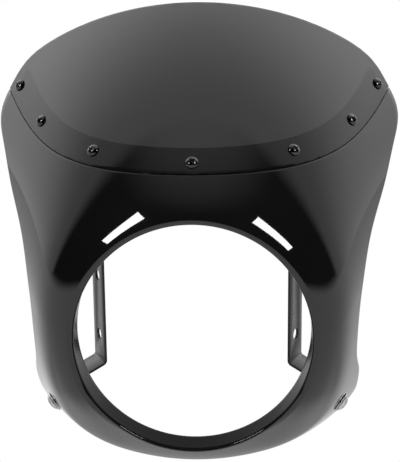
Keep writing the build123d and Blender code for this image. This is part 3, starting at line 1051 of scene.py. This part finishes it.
class COWL_OT_brackets(bpy.types.Operator):
    """Bent sheet brackets for the fork, left and right"""

    bl_idname = "cowl.brackets"
    bl_label = "Brackets"

    def execute(self, context):
        skin, fit = context.scene.cowl_skin, context.scene.cowl_bracket
        black = context.scene.cowl_finish.bracket_black
        finish = paint_finish("bracket_paint", black, rough=(0.24, 0.34), grain=500.0, shine=0.32)
        for side in ("right", "left"):
            piece = self.strip(skin, fit, side + "_strip")
            if side == "left":
                piece.data.transform(Matrix.Scale(-1, 4, (1, 0, 0)))
                piece.data.flip_normals()
            dress(piece, "bracket_black", finish, side + "_bracket")
        return {"FINISHED"}

    def strip(self, skin, fit, name):
        """Right-hand strip: bar, arm and foot, with its holes."""
        place, across, outward = bolt_place(skin, fit)
        point, normal = place.to_translation(), place.to_3x3().col[2]
        tilt = atan2(-normal.z, hypot(normal.x, normal.y))
        middle = across * point.dot(across)
        face = fit.offset + fit.sheet / 2
        seat = point.dot(outward) - fit.boss_depth * cos(tilt)
        level = point.z + fit.boss_depth * sin(tilt)
        path = [
            (face, fit.top), (face, fit.corner),
            (seat + fit.foot_up * sin(tilt), level + fit.foot_up * cos(tilt)),
            (seat - fit.foot_down * sin(tilt), level - fit.foot_down * cos(tilt)),
        ]
        bm = bmesh.new()
        points = [middle + outward * h + Vector((0, 0, z)) - across * fit.width / 2 for h, z in path]
        verts = [bm.verts.new(spot) for spot in points]
        edges = [bm.edges.new(pair) for pair in zip(verts, verts[1:])]
        made = bmesh.ops.extrude_edge_only(bm, edges=edges)["geom"]
        bmesh.ops.translate(bm, vec=across * fit.width, verts=corners(made))
        self.round_bends(bm, fit)
        ends = [vert for vert in bm.verts if len(vert.link_edges) == 2]
        bmesh.ops.bevel(
            bm, geom=ends, offset=fit.end_round, offset_type="OFFSET", affect="VERTICES", segments=8,
            profile=0.5, material=-1, clamp_overlap=True)
        bmesh.ops.recalc_face_normals(bm, faces=bm.faces[:])
        piece = link_mesh(name, bm)
        top = max(piece.data.polygons, key=lambda polygon: polygon.center.z)
        thicken(piece, fit.sheet, side=-1 if top.normal.dot(outward) > 0 else 1, fine=False)
        for height in (fit.hole_middle - fit.hole_pitch / 2, fit.hole_middle + fit.hole_pitch / 2):
            centre = middle + outward * fit.offset + Vector((0, 0, height))
            self.drill(piece, fit.hole_radius, centre, outward)
        foot = point - normal * (fit.boss_depth + fit.sheet / 2)
        self.drill(piece, fit.bolt_radius + HOLE_PLAY, foot, normal)
        soften(piece, width=0.0003, segments=2)
        return piece

    def round_bends(self, bm, fit):
        """Rounds the two bends of the strip."""
        bends = [edge for edge in bm.edges if len(edge.link_faces) == 2]
        for edge in bends:
            turn = edge.calc_face_angle()
            bmesh.ops.bevel(
                bm, geom=[edge], offset=fit.bend * tan(turn / 2), offset_type="OFFSET", affect="EDGES",
                segments=10, profile=0.5, material=-1, clamp_overlap=True)

    def drill(self, piece, radius, centre, axis):
        """Drills a round hole through the strip."""
        reach = 0.004
        carve(piece, bar("drill", HOLE_FACETS, radius, -reach, reach, facing(centre, axis)))


class COWL_OT_bracket_bolts(bpy.types.Operator):
    """Domed bolts, washers and nuts that hold the brackets to the shell"""

    bl_idname = "cowl.bracket_bolts"
    bl_label = "Bracket bolts"

    def execute(self, context):
        skin, fit = context.scene.cowl_skin, context.scene.cowl_bracket
        grey = context.scene.cowl_finish.bolt_grey
        finish = paint_finish("bolt_plating", grey, rough=(0.36, 0.48), grain=900.0, metal=1.0)
        places = both_sides(bolt_place(skin, fit)[0])
        seat = fit.washer_relief + fit.washer_height
        back = -fit.boss_depth - fit.sheet - fit.washer_relief - fit.washer_height
        foot = back - fit.nut_height - fit.bolt_tail
        crown = seat + fit.bolt_dome
        over = 0.002
        bolt = turned("bolt", domed_profile(fit.bolt_radius, fit.bolt_head, foot, seat, crown))
        carve(bolt, bar("socket", 6, fit.socket_flats / sqrt(3), crown - fit.socket_depth, crown + over))
        soften(bolt, width=0.00015, segments=2)
        hole = fit.bolt_radius + HOLE_PLAY
        thread = fit.bolt_radius + THREAD_PLAY
        outer = ring("outer", fit.washer_radius, hole, fit.washer_relief, seat)
        inner = ring("inner", fit.inner_washer, hole, back, back + fit.washer_height)
        nut = hexagon_nut("bolt_nut", fit.nut_flats, thread, back - fit.nut_height, back)
        fasteners = (
            ("shell_bolts", bolt, "bracket_bolts"), ("outer_washers", outer, "bracket_outer_washers"),
            ("inner_washers", inner, "bracket_inner_washers"), ("shell_nuts", nut, "bracket_nuts"),
        )
        for name, single, node in fasteners:
            dress(place_copies(name, single, places), "screw_black", finish, node)
        return {"FINISHED"}


class COWL_OT_stage(bpy.types.Operator):
    """White floor and surround, lights and the camera"""

    bl_idname = "cowl.stage"
    bl_label = "Stage"

    def execute(self, context):
        stage = context.scene.cowl_stage
        context.scene.view_settings.view_transform = "Standard"
        self.add_camera(context, stage)
        self.add_world(context, stage)
        self.add_softboxes(context, stage)
        self.add_floor(stage)
        return {"FINISHED"}

    def add_camera(self, context, stage):
        """Camera at the photograph's view."""
        pitch, yaw = stage.camera_pitch, stage.camera_yaw
        back = Vector((sin(yaw) * cos(pitch), -cos(yaw) * cos(pitch), sin(pitch)))
        level = Vector((cos(yaw), sin(yaw), 0))
        up = level.cross(-back)
        right = level * cos(stage.camera_roll) + up * sin(stage.camera_roll)
        up = back.cross(right)
        data = bpy.data.cameras.new("view")
        data.lens = stage.lens
        data.sensor_width = 36
        camera = bpy.data.objects.new("view", data)
        axes = Matrix((right, up, back)).transposed().to_4x4()
        camera.matrix_world = Matrix.Translation(stage.camera_place) @ axes
        context.scene.collection.objects.link(camera)
        context.scene.camera = camera

    def add_world(self, context, stage):
        """White sweep behind and below, dark studio in front and a soft glow overhead."""
        world = bpy.data.worlds.new("surround")
        context.scene.world = world
        world.use_nodes = True
        tree = world.node_tree
        place = tree.nodes.new("ShaderNodeTexCoord").outputs["Generated"]
        heading = split(tree, place)
        lean = tree.nodes.new("ShaderNodeVectorMath")
        lean.operation = "DOT_PRODUCT"
        lean.inputs[1].default_value = SWEEP_LEAN
        tree.links.new(place, lean.inputs[0])
        edge = soft_step(tree, lean.outputs["Value"], SWEEP_EDGE, 0, stage.sweep_near)
        rise = soft_step(tree, lean.outputs["Value"], SWEEP_RISE, 0, stage.sweep_far)
        lift = soft_step(tree, heading["Z"], SIDES_LIFT, SIDES_FOOT, 1)
        sides = joined(tree, "MULTIPLY", joined(tree, "MULTIPLY", heading["X"], heading["X"]), lift)
        wide = ranged(tree, sides, (0, 1), 1, stage.sweep_sides)
        sweep = joined(tree, "ADD", edge, joined(tree, "MULTIPLY", rise, wide))
        gap = soft_step(tree, heading["Y"], GAP_START, 1, stage.gap_behind)
        floor = soft_step(tree, heading["Z"], FLOOR_START, 0, 1)
        dimming = soft_step(tree, heading["Y"], SHADE_START, 1, stage.floor_behind)
        sweep = joined(tree, "MULTIPLY", sweep, gap)
        floor = joined(tree, "MULTIPLY", floor, dimming)
        glow = soft_step(tree, heading["Z"], GLOW_START, 0, stage.overhead)
        light = joined(tree, "MAXIMUM", joined(tree, "MAXIMUM", sweep, floor), glow)
        background = tree.nodes["Background"]
        background.inputs["Color"].default_value = (1, 1, 1, 1)
        strength = mixed(tree, self.seen(tree), light, 1)
        tree.links.new(strength, background.inputs["Strength"])

    def seen(self, tree):
        """One where a ray is seen directly or through the windscreen."""
        path = tree.nodes.new("ShaderNodeLightPath").outputs
        return joined(tree, "MAXIMUM", path["Is Camera Ray"], path["Is Transmission Ray"])

    def add_softboxes(self, context, stage):
        """Two tall softboxes in front, left and right, leaning together at the top."""
        sides = (
            ("left", -stage.box_turn_left, stage.box_rise_left, -stage.box_lean),
            ("right", stage.box_turn_right, stage.box_rise_right, stage.box_lean),
        )
        for side, turn, rise, lean in sides:
            lamp = bpy.data.lights.new("softbox_" + side, "AREA")
            lamp.shape = "RECTANGLE"
            lamp.size = stage.box_width
            lamp.size_y = stage.box_height
            lamp.energy = stage.box_power
            back = Vector((sin(turn) * cos(rise), -cos(turn) * cos(rise), sin(rise)))
            box = bpy.data.objects.new("softbox_" + side, lamp)
            place = facing(back * stage.box_distance, back)
            box.matrix_world = place @ Matrix.Rotation(lean, 4, "Z")
            context.scene.collection.objects.link(box)

    def add_floor(self, stage):
        """Pale floor well below the hanging cowl."""
        bm = bmesh.new()
        bmesh.ops.create_grid(bm, x_segments=1, y_segments=1, size=FLOOR_REACH)
        bmesh.ops.translate(bm, vec=(0, 0, stage.floor_height), verts=bm.verts[:])
        floor = link_mesh("floor", bm)
        material, tree, shader = new_finish("floor_white")
        shader.inputs["Base Color"].default_value = (FLOOR_WHITE, FLOOR_WHITE, FLOOR_WHITE, 1)
        shader.inputs["Roughness"].default_value = FLOOR_ROUGHNESS
        glow = tree.nodes.new("ShaderNodeEmission")
        tree.links.new(self.floor_glow(tree, stage), glow.inputs["Strength"])
        path = tree.nodes.new("ShaderNodeLightPath")
        sharp = joined(tree, "MAXIMUM", self.seen(tree), path.outputs["Is Glossy Ray"])
        blend = tree.nodes.new("ShaderNodeMixShader")
        tree.links.new(sharp, blend.inputs["Fac"])
        tree.links.new(shader.outputs["BSDF"], blend.inputs[1])
        tree.links.new(glow.outputs["Emission"], blend.inputs[2])
        tree.links.new(blend.outputs["Shader"], tree.nodes["Material Output"].inputs["Surface"])
        floor.data.materials.append(material)

    def floor_glow(self, tree, stage):
        """White where the floor is seen, and dimmer far behind the cowl where it is mirrored."""
        place = tree.nodes.new("ShaderNodeTexCoord").outputs["Object"]
        near = soft_step(tree, split(tree, place)["Y"], FLOOR_NEAR, 1, stage.floor_behind)
        unit = tree.nodes.new("ShaderNodeVectorMath")
        unit.operation = "NORMALIZE"
        tree.links.new(place, unit.inputs[0])
        heading = split(tree, unit.outputs["Vector"])
        aside = soft_step(tree, heading["Z"], FLOOR_SLOPES, FLOOR_STEEP, FLOOR_FLAT)
        behind = soft_step(tree, heading["Y"], FLOOR_BACK, 1, stage.floor_behind)
        lit = joined(tree, "MAXIMUM", near, joined(tree, "MULTIPLY", aside, behind))
        path = tree.nodes.new("ShaderNodeLightPath")
        return joined(tree, "MAXIMUM", lit, path.outputs["Is Camera Ray"])


class COWL_PT_panel(bpy.types.Panel):
    """Sidebar list of the cowl's pieces and sizes"""

    bl_idname = "COWL_PT_panel"
    bl_label = "Headlight Cowl"
    bl_space_type = "VIEW_3D"
    bl_region_type = "UI"
    bl_category = "Cowl"

    def draw(self, context):
        for operator in OPERATORS:
            self.layout.operator(operator.bl_idname)
        for group in GROUPS:
            sizes = getattr(context.scene, group)
            box = self.layout.box()
            for name in sizes.__annotations__:
                box.prop(sizes, name)


OPERATORS = (
    COWL_OT_shell,
    COWL_OT_windscreen,
    COWL_OT_screen_screws,
    COWL_OT_screen_fixings,
    COWL_OT_brackets,
    COWL_OT_bracket_bolts,
    COWL_OT_stage,
)

GROUPS = {
    "cowl_skin": CowlSkinSizes,
    "cowl_screen": WindscreenFit,
    "cowl_bracket": BracketFit,
    "cowl_finish": CowlFinish,
    "cowl_stage": CowlStage,
}


def register():
    """Registers sizes, operators and panel."""
    for name, group in GROUPS.items():
        bpy.utils.register_class(group)
        setattr(bpy.types.Scene, name, bpy.props.PointerProperty(type=group))
    for operator in OPERATORS:
        bpy.utils.register_class(operator)
    bpy.utils.register_class(COWL_PT_panel)


def unregister():
    """Removes panel, operators and sizes."""
    bpy.utils.unregister_class(COWL_PT_panel)
    for operator in reversed(OPERATORS):
        bpy.utils.unregister_class(operator)
    for name, group in reversed(GROUPS.items()):
        delattr(bpy.types.Scene, name)
        bpy.utils.unregister_class(group)


def main():
    """Builds every piece and the stage."""
    register()
    bpy.ops.cowl.shell()
    bpy.ops.cowl.windscreen()
    bpy.ops.cowl.screen_screws()
    bpy.ops.cowl.screen_fixings()
    bpy.ops.cowl.brackets()
    bpy.ops.cowl.bracket_bolts()
    bpy.ops.cowl.stage()


if __name__ == "__main__":
    main()
